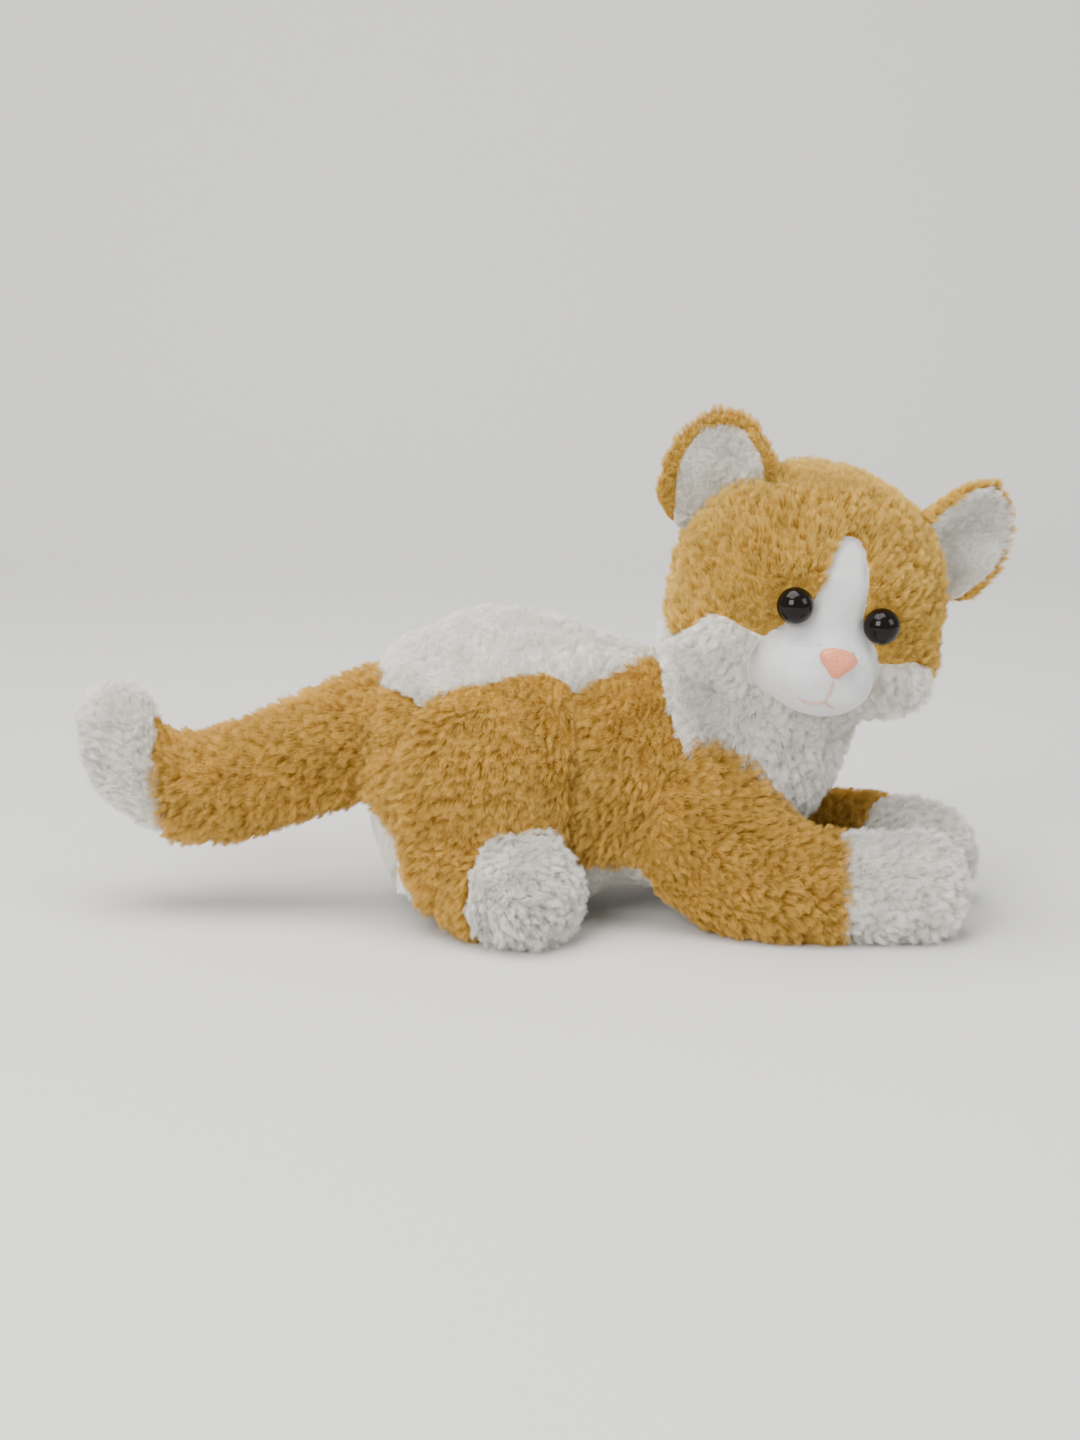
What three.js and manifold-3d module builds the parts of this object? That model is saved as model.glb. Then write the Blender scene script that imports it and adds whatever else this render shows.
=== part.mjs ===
// A lying plush cat: sewn pile-fabric covers over fibre filling, with safety eyes.
// Millimetres, +Z up. +X runs from the tail to the front paws. The cat's right side is -Y,
// and its head is turned to the right. The origin is the middle of the flat seat under the hips.
import * as THREE from "three";
import { mergeVertices } from "three/addons/utils/BufferGeometryUtils.js";
import Module from "manifold-3d";

const wasm = await Module();
wasm.setup();

// ---- Driving dimensions ----
const FABRIC = 3.5; // thickness of backing and pressed pile
const SEAM_GAP = 0.5; // between pieces that touch
const FILL_GAP = 1.2; // between a cover and its filling
const MOVE_GAP = 1.2; // between bodies that turn on each other
const TIDY = 0.15; // slivers smaller than this are smoothed away
const HEAD_CENTRE = [110, -20, 138];
const HEAD_HALF = { forward: 46, left: 54, up: 49 };
const HEAD_FACES = THREE.MathUtils.degToRad(-79); // from +X, towards the cat's right
const HEAD_ROLL = THREE.MathUtils.degToRad(15); // towards the cat's left
const MUZZLE = { centre: [37, 0, -25], half: [23, 23, 18.5] };
const NECK_PIVOT = [100, -9, 100];
const NECK_RADIUS = 23;
const EYE = { forward: 43, side: 18, up: -1, radius: 6.75, stem: 2, washer: 7 };
const EAR = { side: 44, up: 21, forward: -4, halfWide: 24, halfTall: 32.5, halfThick: 8 };
const FORELEG_HALF = 20;
const TAIL_HALF = 20.5;
const HIND_SPREAD = THREE.MathUtils.degToRad(15); // how far a hind leg swings out

const X_AXIS = new THREE.Vector3(1, 0, 0);
const Y_AXIS = new THREE.Vector3(0, 1, 0);
const Z_AXIS = new THREE.Vector3(0, 0, 1);
const radians = THREE.MathUtils.degToRad;
const vec = ([x, y, z]) => new THREE.Vector3(x, y, z);

// ---- Solids ----
// A closed three.js geometry as a solid, after an optional matrix.
function solidOf(geometry, matrix = new THREE.Matrix4()) {
  const bare = geometry.clone().applyMatrix4(matrix);
  bare.deleteAttribute("normal");
  bare.deleteAttribute("uv");
  const merged = mergeVertices(bare, 1e-3);
  return new wasm.Manifold(
    new wasm.Mesh({
      numProp: 3,
      vertProperties: new Float32Array(merged.attributes.position.array),
      triVerts: new Uint32Array(merged.index.array),
    }),
  );
}

// The largest separate body of a solid: booleans can leave crumbs at a seam.
function mainBody(solid) {
  return solid.decompose().sort((a, b) => b.volume() - a.volume())[0];
}

function geometryOf(solid) {
  const { numProp, vertProperties, triVerts } = solid.getMesh();
  const count = vertProperties.length / numProp;
  const points = new Float32Array(count * 3);
  for (let i = 0; i < count; i++) {
    points.set(vertProperties.subarray(i * numProp, i * numProp + 3), i * 3);
  }
  const geometry = new THREE.BufferGeometry();
  geometry.setAttribute("position", new THREE.BufferAttribute(points, 3));
  geometry.setIndex(new THREE.BufferAttribute(new Uint32Array(triVerts), 1));
  geometry.computeVertexNormals();
  return geometry;
}

const turnAbout = (pivot, axis, angle) =>
  new THREE.Matrix4()
    .makeTranslation(...pivot)
    .multiply(new THREE.Matrix4().makeRotationAxis(axis, angle))
    .multiply(new THREE.Matrix4().makeTranslation(...pivot.map((v) => -v)));

// ---- Stuffed shapes ----
// A sphere whose latitudes are laid along a spine: elliptic rings with domed ends.
// wide and tall are half sizes at each spine point; domes are the lengths past each end.
function stuffedTube({ spine, wide, tall, domes, sides = 18, rings = 14, across = Y_AXIS }, inset = 0) {
  const curve = new THREE.CatmullRomCurve3(spine.map(vec));
  const sizes = new THREE.CatmullRomCurve3(spine.map((_, i) => new THREE.Vector3(wide[i], tall[i], 0)));
  const geometry = new THREE.SphereGeometry(1, sides, rings);
  const points = geometry.attributes.position;
  const domeShare = (rings > 12 ? 3 : 2) / rings;
  for (let i = 0; i < points.count; i++) {
    const unit = new THREE.Vector3().fromBufferAttribute(points, i);
    const share = Math.acos(THREE.MathUtils.clamp(unit.y, -1, 1)) / Math.PI;
    const around = Math.atan2(unit.z, unit.x);
    const inDome = Math.min(share, 1 - share) / domeShare;
    const along = THREE.MathUtils.clamp((share - domeShare) / (1 - 2 * domeShare), 0, 1);
    const tangent = curve.getTangent(along);
    const side = across.clone().addScaledVector(tangent, -across.dot(tangent)).normalize();
    const rise = side.clone().cross(tangent).negate();
    const domeAngle = Math.min(inDome, 1) * (Math.PI / 2);
    const dome = share < 0.5 ? -(domes[0] - inset) : domes[1] - inset;
    const size = sizes.getPoint(along);
    const swell = Math.sin(domeAngle);
    const at = curve
      .getPoint(along)
      .addScaledVector(tangent, dome * Math.cos(domeAngle))
      .addScaledVector(side, Math.cos(around) * (size.x - inset) * swell)
      .addScaledVector(rise, Math.sin(around) * (size.y - inset) * swell);
    points.setXYZ(i, at.x, at.y, at.z);
  }
  return geometry;
}

function ellipsoid(centre, half, inset = 0, sides = 14, rings = 10) {
  return new THREE.SphereGeometry(1, sides, rings)
    .rotateX(Math.PI / 2)
    .scale(...half.map((v) => v - inset))
    .translate(...centre);
}

// A closed outline pushed along the third axis of a frame of three unit vectors.
function prism(outline, [u, v, w], from, to) {
  const shape = new THREE.Shape(outline.map(([x, y]) => new THREE.Vector2(x, y)));
  const frame = new THREE.Matrix4().makeBasis(u, v, w);
  return new THREE.ExtrudeGeometry(shape, { depth: to - from, bevelEnabled: false })
    .translate(0, 0, from)
    .applyMatrix4(frame);
}
const SIDE_VIEW = [X_AXIS, Z_AXIS, Y_AXIS.clone().negate()];
const TOP_VIEW = [X_AXIS, Y_AXIS, Z_AXIS];

// The outline moved outwards by the seam gap, so that the next panel stops short of it.
function grown(outline, gap = SEAM_GAP) {
  const n = outline.length;
  return outline.map(([x, y], i) => {
    const [ax, ay] = outline[(i + n - 1) % n];
    const [bx, by] = outline[(i + 1) % n];
    const length = Math.hypot(bx - ax, by - ay);
    return [x + ((by - ay) / length) * gap, y - ((bx - ax) / length) * gap];
  });
}

const FAR = 300;
function box(low, high) {
  const size = high.map((v, i) => v - low[i]);
  const middle = high.map((v, i) => (v + low[i]) / 2);
  return new THREE.BoxGeometry(...size).translate(...middle);
}

// ---- Materials ----
const fabric = (hex, roughness = 0.95) =>
  new THREE.MeshStandardMaterial({ color: hex, roughness, metalness: 0 });
const GINGER_PILE = fabric(0xc28f45);
const WHITE_PILE = fabric(0xe6e6e0);
const SMOOTH_WHITE = fabric(0xdadde2, 0.85);
const PINK_SATIN = fabric(0xe58a6c, 0.5);
const FIBRE = fabric(0xf4f4f0, 1);
const LABEL_SATIN = fabric(0xe9e3e6, 0.6);
const BLACK_ACRYLIC = new THREE.MeshStandardMaterial({ color: 0x0a0807, roughness: 0.06, metalness: 0 });
const WASHER_PLASTIC = new THREE.MeshStandardMaterial({ color: 0xd8d8d4, roughness: 0.5, metalness: 0 });

const group = new THREE.Group();
function add(parent, name, solid, material) {
  const body = mainBody(solid.simplify(TIDY));
  const mesh = new THREE.Mesh(geometryOf(body), material);
  mesh.name = name;
  parent.add(mesh);
}

// ---- Legs and tail: the shapes that turn ----
// The root of each leg is round about its upright hinge, so that it turns in its socket.
const FORELEG_HINGE = 64;
const HIND_HINGE = -24;
const foreleg = (spine, side) => ({
  root: { centre: [FORELEG_HINGE, side * 33, 42], half: [23, 23, 34] },
  limb: {
    spine,
    wide: [18, FORELEG_HALF, FORELEG_HALF, FORELEG_HALF],
    tall: [24, 22.5, 21, 21],
    domes: [8, 17],
    sides: 10,
    rings: 8,
  },
});
const forelegs = {
  right: foreleg([[70, -36, 27], [98, -44, 21], [128, -45, 19.5], [154, -44, 19.5]], -1),
  left: foreleg([[70, 36, 27], [98, 40, 21], [132, 30, 19.5], [164, 8, 19.5]], 1),
};
const hindleg = (side) => ({
  root: { centre: [HIND_HINGE, side * 31, 52], half: [24, 24, 44] },
  limb: {
    spine: [[-28, side * 36, 27], [-16, side * 47, 21], [-4, side * 57, 19.5]],
    wide: [18, 22, 23],
    tall: [18, 21, 21.5],
    domes: [8, 17],
    sides: 10,
    rings: 8,
    across: Z_AXIS,
  },
});
const hindlegs = { right: hindleg(-1), left: hindleg(1) };
const tail = {
  spine: [[-62, 0, 79], [-100, 0, 64.5], [-128, 0, 54.5], [-152, 0, 53.5], [-170, 0, 62], [-177, 0, 79]],
  wide: [TAIL_HALF, TAIL_HALF, TAIL_HALF - 0.5, TAIL_HALF - 1.5, 15, 13],
  tall: [23, 21.5, 20.5, 19, 15.5, 13],
  domes: [16, 14],
  sides: 12,
  rings: 16,
};
const TIP_PIVOT = [-153, 0, 55];

// ---- Torso: hips, waist, shoulders and the chest that rises into the neck ----
const trunk = {
  spine: [[-50, 0, 60], [-20, 0, 61], [10, 0, 63], [35, 0, 63], [62, 0, 58], [82, 0, 61]],
  wide: [39, 46, 45, 42, 41, 37],
  tall: [56, 67, 62, 50, 46, 38],
  domes: [19, 22],
  sides: 16,
  rings: 10,
};
const chest = {
  spine: [[72, 0, 56], [87, -3, 78], [97, -8, 100]],
  wide: [34, 36, 33],
  tall: [34, 35, 33],
  domes: [20, 16],
  sides: 14,
  rings: 8,
};
const headMatrix = new THREE.Matrix4()
  .makeTranslation(...HEAD_CENTRE)
  .multiply(new THREE.Matrix4().makeRotationZ(HEAD_FACES))
  .multiply(new THREE.Matrix4().makeRotationX(-HEAD_ROLL));
const headHalf = [HEAD_HALF.forward, HEAD_HALF.left, HEAD_HALF.up];

// Room in the torso for the parts that turn against it. Legs turn outwards only, away from it.
const HEAD_ROOM = [HEAD_HALF.forward + 10, HEAD_HALF.left + 8, HEAD_HALF.up + 4];
const TAIL_ROOM = { centre: [-64, 0, 78], half: [22, 30, 29] };
const rooms = [
  solidOf(ellipsoid(NECK_PIVOT, [NECK_RADIUS, NECK_RADIUS, NECK_RADIUS], -MOVE_GAP, 12, 8)),
  solidOf(ellipsoid([0, 0, 0], HEAD_ROOM, 0, 12, 8), headMatrix),
  solidOf(ellipsoid(TAIL_ROOM.centre, TAIL_ROOM.half, 0, 12, 8)),
];
for (const { root, limb } of [...Object.values(forelegs), ...Object.values(hindlegs)]) {
  rooms.push(solidOf(ellipsoid(root.centre, root.half, -MOVE_GAP, 12, 8)));
  rooms.push(solidOf(stuffedTube(limb, -MOVE_GAP)));
}
for (const side of [-1, 1]) {
  const { root, limb } = side < 0 ? hindlegs.right : hindlegs.left;
  const spread = turnAbout(root.centre, Z_AXIS, side * HIND_SPREAD);
  rooms.push(solidOf(stuffedTube(limb, -MOVE_GAP), spread));
}
const moverRoom = rooms.reduce((all, room) => all.add(room)).simplify(0.3);

// Panel outlines, each anticlockwise in its own view.
const SADDLE = [
  [-68, 0], [-58, -20], [-48, -31], [-33, -35.5], [-4, -32.5], [20, -29], [34, -22], [46, -9], [51, 0],
  [46, 9], [34, 22], [20, 29], [-4, 32.5], [-33, 35.5], [-48, 31], [-58, 20],
];
const BELLY = [
  [-90, -20], [62, -20], [62, 30], [45, 30], [20, 27], [-30, 26], [-46, 31], [-58, 43], [-70, 53], [-90, 62],
];
const BIB = [
  [62, -20], [160, -20], [160, 140], [53, 140], [53, 100], [55, 90], [58, 79], [65, 65], [74, 55], [86, 45],
  [62, 30],
];

// The part of a solid above a level; resting on the table makes its underside flat.
const abovePlane = (solid, level) => solid.subtract(solidOf(box([-FAR, -FAR, -FAR], [FAR, FAR, level])));
const torsoWhole = (inset) =>
  abovePlane(solidOf(stuffedTube(trunk, inset)).add(solidOf(stuffedTube(chest, inset))), inset);
const rightHalf = solidOf(box([-FAR, -FAR, -FAR], [FAR, -SEAM_GAP / 2, FAR]));
const leftHalf = solidOf(box([-FAR, SEAM_GAP / 2, -FAR], [FAR, FAR, FAR]));

const torso = new THREE.Group();
group.add(torso);
const torsoShell = torsoWhole(0).subtract(torsoWhole(FABRIC)).subtract(moverRoom);
const cut = (outline, view, from = -FAR, to = FAR) => solidOf(prism(outline, view, from, to));
const SADDLE_LEVEL = 85; // the saddle is cut from the top of the back only
const saddleCut = (outline) => cut(outline, TOP_VIEW, SADDLE_LEVEL, FAR);
const bib = torsoShell.intersect(cut(BIB, SIDE_VIEW)).subtract(cut(grown(BELLY), SIDE_VIEW));
add(torso, "back_saddle_panel", torsoShell.intersect(saddleCut(SADDLE)), WHITE_PILE);
add(torso, "belly_panel", torsoShell.intersect(cut(BELLY, SIDE_VIEW)), WHITE_PILE);
add(torso, "bib_panel", bib, WHITE_PILE);
const sides = torsoShell
  .subtract(saddleCut(grown(SADDLE)))
  .subtract(cut(grown(BELLY), SIDE_VIEW))
  .subtract(cut(grown(BIB), SIDE_VIEW));
add(torso, "body_side_right", sides.intersect(rightHalf), GINGER_PILE);
add(torso, "body_side_left", sides.intersect(leftHalf), GINGER_PILE);
add(torso, "torso_filling", torsoWhole(FABRIC + FILL_GAP).subtract(moverRoom), FIBRE);

// ---- Care label: a folded satin tape sewn in behind the right thigh, left blank ----
const LABEL = { wide: 13, tall: 20, thick: 0.8, centre: [-58, -31.5, 22], turn: radians(-8) };
const labelTape = new THREE.BoxGeometry(LABEL.wide, LABEL.thick, LABEL.tall);
labelTape.rotateZ(LABEL.turn).translate(...LABEL.centre);
add(torso, "care_label", solidOf(labelTape), LABEL_SATIN);

// ---- Legs: a ginger sleeve, a white paw cover and one run of filling ----
// paw is a frame at the paw seam: the paw cover is what lies in front of it, below the top of the leg.
const PAW_TOP = 25;
function addLeg(name, { root, limb }, paw, coverNames) {
  const leg = new THREE.Group();
  torso.add(leg);
  const body = (inset) => {
    const rootSolid = solidOf(ellipsoid(root.centre, root.half, inset, 12, 8));
    return abovePlane(rootSolid.add(solidOf(stuffedTube(limb, inset))), inset);
  };
  const shell = body(0).subtract(body(FABRIC));
  const [cover, pawCover, filling] = coverNames;
  const pawSide = (gap) => solidOf(box([gap, -FAR, -FAR], [FAR, FAR, PAW_TOP - gap]), paw);
  add(leg, `${cover}_${name}`, shell.subtract(pawSide(-SEAM_GAP)), GINGER_PILE);
  add(leg, `${pawCover}_${name}`, shell.intersect(pawSide(0)), WHITE_PILE);
  add(leg, `${filling}_${name}`, body(FABRIC + FILL_GAP), FIBRE);
}
const facing = (at, degrees) =>
  new THREE.Matrix4().makeTranslation(...at).multiply(new THREE.Matrix4().makeRotationZ(radians(degrees)));
const FORE = ["foreleg_sleeve", "forepaw", "foreleg_filling"];
addLeg("right", forelegs.right, facing([124, -44, 20], 0), FORE);
addLeg("left", forelegs.left, facing([146, 20, 20], -32), FORE);
const HIND = ["thigh_cover", "hindpaw", "hindleg_filling"];
addLeg("right", hindlegs.right, facing([-20, -49, 20], -38), HIND);
addLeg("left", hindlegs.left, facing([-20, 49, 20], 38), HIND);

// ---- Tail: the white tip bends on a rounded end of its filling inside the ginger sleeve ----
const TIP_BALL = 14.5;
const TIP_STEP = 5;
const ball = (centre, radius, inset = 0) => ellipsoid(centre, [radius, radius, radius], inset, 12, 8);
const behind = (x) => solidOf(box([-FAR, -FAR, -FAR], [x, FAR, FAR]));
const tailTube = (inset) => solidOf(stuffedTube(tail, inset));
const sleeveEnd = TIP_PIVOT[0] + TIP_STEP;
const tipStart = TIP_PIVOT[0] - TIP_STEP;
const tipRoom = solidOf(ball(TIP_PIVOT, TIP_BALL, -MOVE_GAP));
const tailPart = (inset) => tailTube(inset).subtract(behind(sleeveEnd)).subtract(tipRoom);
const tipPart = (inset) => tailTube(inset).intersect(behind(tipStart));
const tipFilling = tipPart(FABRIC + FILL_GAP).add(solidOf(ball(TIP_PIVOT, TIP_BALL)));
const tailGroup = new THREE.Group();
torso.add(tailGroup);
add(tailGroup, "tail_cover", tailPart(0).subtract(tailTube(FABRIC)), GINGER_PILE);
add(tailGroup, "tail_filling", tailPart(FABRIC + FILL_GAP), FIBRE);
const tipGroup = new THREE.Group();
tailGroup.add(tipGroup);
add(tipGroup, "tail_tip_cover", tipPart(0).subtract(tailTube(FABRIC)), WHITE_PILE);
add(tipGroup, "tail_tip_filling", tipFilling, FIBRE);

// ---- Neck: a ball of filling between the chest and the head ----
const neck = new THREE.Group();
torso.add(neck);
add(neck, "neck_filling", solidOf(ball(NECK_PIVOT, NECK_RADIUS)), FIBRE);

// ---- Head, modelled facing +X about its own centre and then placed ----
const head = new THREE.Group();
head.applyMatrix4(headMatrix);
neck.add(head);
const toHead = headMatrix.clone().invert();
const neckInHead = vec(NECK_PIVOT).applyMatrix4(toHead).toArray();
const FRONT_VIEW = [Y_AXIS, Z_AXIS, X_AXIS];
const BLAZE = [
  [-14, -30], [14, -30], [12, -9], [7.5, 2], [7, 18], [4.5, 26], [0, 29], [-4.5, 26], [-7, 18], [-7.5, 2],
  [-12, -9],
];
const CHEEK = [[0.15, -70], [40, -70], [51, -34], [50, -26], [43, -13], [31, -17], [18, -15], [0.15, -15]];
const mirrored = (outline) => outline.map(([x, y]) => [-x, y]).reverse();

// An ear: a flattened egg dished at the front, rounded about the seam that it hinges on.
const EAR_SPLAY = 38; // of the seam, outwards, about the head's forward axis
const EAR_LEAN = { right: 26, left: 0 }; // of the blade on its seam, towards the middle of the head
const EAR_SUNK = { right: 13, left: 9 }; // how much of the blade's foot is cut away at the seam
const EAR_TURN = 22; // the dish faces a little outwards
const EAR_SWING = 24; // how far the tip of the ear flops to the front and back
const EAR_MARGIN = 6; // room past each end of the seam
function earParts(side, lean, sunk) {
  const place = new THREE.Matrix4()
    .makeTranslation(EAR.forward, side * EAR.side, EAR.up)
    .multiply(new THREE.Matrix4().makeRotationX(-side * radians(EAR_SPLAY)))
    .multiply(new THREE.Matrix4().makeRotationZ(side * radians(EAR_TURN)));
  const { halfWide, halfTall, halfThick } = EAR;
  const leaning = new THREE.Matrix4().makeRotationX(side * radians(lean));
  const egg = new THREE.SphereGeometry(1, 12, 10).rotateX(Math.PI / 2);
  const points = egg.attributes.position;
  for (let i = 0; i < points.count; i++) {
    const [x, y, z] = [points.getX(i), points.getY(i), points.getZ(i)];
    points.setXYZ(i, x * halfThick, y * halfWide * (1 - 0.18 * z), z * halfTall);
  }
  egg.translate(0, 0, halfTall - halfThick - sunk);
  const blade = abovePlane(solidOf(egg, leaning), 0);
  const roll = solidOf(ellipsoid([0, 0, 0], [halfThick - 0.5, halfWide - 4, halfThick - 0.5]));
  const whole = blade.add(roll);
  const dishAt = [halfThick * 0.9, 0, halfTall - 3 - sunk];
  const dishHalf = [halfThick, halfWide - 6, halfTall - 9];
  const dish = (deeper) => solidOf(ellipsoid(dishAt, dishHalf, -deeper), leaning);
  const open = halfThick + MOVE_GAP;
  const reach = halfWide + EAR_MARGIN;
  const swing = [[-open, -open], [open, -open], [open, 0], [EAR_SWING, 46], [-EAR_SWING, 46], [-open, 0]];
  const room = solidOf(prism(swing, SIDE_VIEW, -reach, reach));
  return { place, whole, dish, room };
}
const ears = {
  right: earParts(-1, EAR_LEAN.right, EAR_SUNK.right),
  left: earParts(1, EAR_LEAN.left, EAR_SUNK.left),
};

const headWhole = (inset) =>
  solidOf(ellipsoid([0, 0, 0], headHalf, inset, 18, 12)).add(
    solidOf(ellipsoid(MUZZLE.centre, MUZZLE.half, inset, 14, 10)),
  );
const clearOfEarsAndNeck = (solid) =>
  solid
    .subtract(solidOf(ball(neckInHead, NECK_RADIUS, -2 * MOVE_GAP)))
    .subtract(solidOf(geometryOf(ears.right.room), ears.right.place))
    .subtract(solidOf(geometryOf(ears.left.room), ears.left.place));
const headWall = clearOfEarsAndNeck(headWhole(0).subtract(headWhole(FABRIC)));

// Safety eyes: a ball on a stem that passes the cover and is locked by a washer inside.
const eyeAt = (side) => {
  const y = side * EYE.side;
  const x = HEAD_HALF.forward * Math.sqrt(1 - (y / HEAD_HALF.left) ** 2 - (EYE.up / HEAD_HALF.up) ** 2);
  const outward = new THREE.Vector3(x / HEAD_HALF.forward ** 2, y / HEAD_HALF.left ** 2, 0).normalize();
  return new THREE.Matrix4()
    .makeTranslation(x, y, EYE.up)
    .multiply(new THREE.Matrix4().makeBasis(outward, Z_AXIS.clone().cross(outward), Z_AXIS));
};
const STEM_LONG = 11;
const WASHER_THICK = 2;
function alongX(radius, long, from, sides = 10) {
  const pin = new THREE.CylinderGeometry(radius, radius, long, sides);
  return pin.rotateZ(-Math.PI / 2).translate(from + long / 2, 0, 0);
}
let faceWall = headWall;
let headFilling = clearOfEarsAndNeck(headWhole(FABRIC + FILL_GAP));
for (const [name, side] of [["right", -1], ["left", 1]]) {
  const at = eyeAt(side);
  const seat = new THREE.SphereGeometry(EYE.radius + SEAM_GAP, 14, 10).translate(2.5, 0, 0);
  const bore = alongX(EYE.stem + SEAM_GAP, STEM_LONG + 6, -STEM_LONG - 1);
  faceWall = faceWall.subtract(solidOf(seat, at)).subtract(solidOf(bore, at));
  const washerRoom = alongX(EYE.washer + 0.5, WASHER_THICK + 1, -STEM_LONG + 0.5);
  headFilling = headFilling
    .subtract(solidOf(seat, at))
    .subtract(solidOf(bore, at))
    .subtract(solidOf(washerRoom, at));
  const eyeball = solidOf(new THREE.SphereGeometry(EYE.radius, 14, 10).translate(2.5, 0, 0), at);
  add(head, `eye_${name}`, eyeball.add(solidOf(alongX(EYE.stem, STEM_LONG, -STEM_LONG), at)), BLACK_ACRYLIC);
  const washer = solidOf(alongX(EYE.washer, WASHER_THICK, -STEM_LONG + 1), at).subtract(
    solidOf(alongX(EYE.stem + SEAM_GAP, 30, -20), at),
  );
  add(head, `eye_washer_${name}`, washer, WASHER_PLASTIC);
}

const muzzleCut = (gap) =>
  solidOf(ellipsoid(MUZZLE.centre, MUZZLE.half.map((v) => v + 1 + gap)))
    .add(solidOf(prism(gap ? grown(BLAZE) : BLAZE, FRONT_VIEW, 8, FAR)));
const cheekCut = (side, gap) => {
  const outline = gap ? grown(CHEEK) : CHEEK;
  return solidOf(prism(side > 0 ? outline : mirrored(outline), FRONT_VIEW, -4, FAR));
};
const NOSE = { at: [60.4, 0, -17.5], half: [4.2, 8.2, 6] };
const noseGeometry = new THREE.SphereGeometry(1, 12, 8).rotateX(Math.PI / 2);
const nosePoints = noseGeometry.attributes.position;
for (let i = 0; i < nosePoints.count; i++) {
  const z = nosePoints.getZ(i);
  const taper = 0.75 + 0.35 * z;
  const x = nosePoints.getX(i) * NOSE.half[0];
  const y = nosePoints.getY(i) * NOSE.half[1] * taper;
  nosePoints.setXYZ(i, x, y, z * NOSE.half[2]);
}
noseGeometry.rotateY(radians(-22)).translate(...NOSE.at);
const nose = solidOf(noseGeometry);
const NOSE_ROOM = [1.07, 1.05, 1.06]; // the hole in the cover, as shares of the nose
const noseHole = noseGeometry
  .clone()
  .translate(...NOSE.at.map((v) => -v))
  .scale(...NOSE_ROOM)
  .translate(...NOSE.at);
const noseRoom = solidOf(noseHole);

// Mouth: an upright stitch below the nose and a curved one to each side, lying in the cover.
const MOUTH_THREAD = 0.7;
const THREAD_ROOM = 1;
const mouthPath = new THREE.CatmullRomCurve3([
  [50.5, -11, -34.5], [54.5, -6, -35.8], [56.6, 0, -34.4], [54.5, 6, -35.8], [50.5, 11, -34.5],
].map(vec));
function thread(path, radius, steps) {
  const round = new THREE.Path().absarc(0, 0, radius, 0, 2 * Math.PI).getPoints(4);
  return solidOf(new THREE.ExtrudeGeometry(new THREE.Shape(round), { extrudePath: path, steps }));
}
const uprightPath = new THREE.LineCurve3(vec([56.2, 0, -34.6]), vec([60.4, 0, -24.2]));
const mouth = (radius) => thread(mouthPath, radius, 12).add(thread(uprightPath, radius, 2));

const faceHoles = noseRoom.add(mouth(THREAD_ROOM));
add(head, "muzzle_panel", faceWall.intersect(muzzleCut(0)).subtract(faceHoles), SMOOTH_WHITE);
const afterMuzzle = faceWall.subtract(muzzleCut(SEAM_GAP));
for (const [name, side] of [["right", -1], ["left", 1]]) {
  add(head, `cheek_${name}`, afterMuzzle.intersect(cheekCut(side, 0)), WHITE_PILE);
}
const crown = afterMuzzle.subtract(cheekCut(-1, SEAM_GAP)).subtract(cheekCut(1, SEAM_GAP));
add(head, "head_crown", crown, GINGER_PILE);
add(head, "head_filling", headFilling.subtract(faceHoles), FIBRE);
add(head, "nose", nose, PINK_SATIN);
add(head, "mouth_stitch", mouth(MOUTH_THREAD), fabric(0xd98a74, 0.7));

for (const [name, side] of [["right", -1], ["left", 1]]) {
  const { place, whole, dish } = ears[name];
  const ear = new THREE.Group();
  ear.applyMatrix4(place);
  head.add(ear);
  add(ear, `ear_back_${name}`, whole.subtract(dish(3.5)), GINGER_PILE);
  add(ear, `ear_lining_${name}`, whole.intersect(dish(3.2)).subtract(dish(0)), WHITE_PILE);
}

export default group;
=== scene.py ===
"""A lying plush cat in ginger and white pile fabric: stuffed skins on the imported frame, fur, eyes, a studio.

Lengths are millimetres in the values below and metres in Blender. The frame's axes: +X from the tail to
the forepaws, +Y to the cat's left, +Z up. A side of -1 is the cat's right and 1 its left.
"""

import math

import bpy
import numpy as np
from mathutils import Matrix, Vector, noise


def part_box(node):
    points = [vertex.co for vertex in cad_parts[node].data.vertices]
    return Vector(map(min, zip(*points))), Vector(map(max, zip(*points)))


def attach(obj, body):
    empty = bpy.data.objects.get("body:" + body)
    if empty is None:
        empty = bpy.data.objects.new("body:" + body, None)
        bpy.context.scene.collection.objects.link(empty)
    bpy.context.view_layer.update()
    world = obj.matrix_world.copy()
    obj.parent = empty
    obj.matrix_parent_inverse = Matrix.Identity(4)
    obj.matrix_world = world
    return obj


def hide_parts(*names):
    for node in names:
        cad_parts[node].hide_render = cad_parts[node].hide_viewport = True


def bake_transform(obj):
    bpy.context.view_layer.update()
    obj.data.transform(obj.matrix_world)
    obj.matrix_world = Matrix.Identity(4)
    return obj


NOISE_SEED = 7
noise.seed_set(NOISE_SEED)  # noise_vector takes its offsets from the clock otherwise

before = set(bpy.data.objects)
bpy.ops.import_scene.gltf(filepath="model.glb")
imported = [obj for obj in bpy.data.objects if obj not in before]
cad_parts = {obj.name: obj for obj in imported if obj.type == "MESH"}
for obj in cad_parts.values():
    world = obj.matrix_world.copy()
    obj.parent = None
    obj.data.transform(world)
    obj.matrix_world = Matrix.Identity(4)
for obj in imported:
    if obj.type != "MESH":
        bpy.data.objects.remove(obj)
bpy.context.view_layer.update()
MM = 0.001
X, Y, Z = np.eye(3)
SIDES = ((-1, "right"), (1, "left"))


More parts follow.
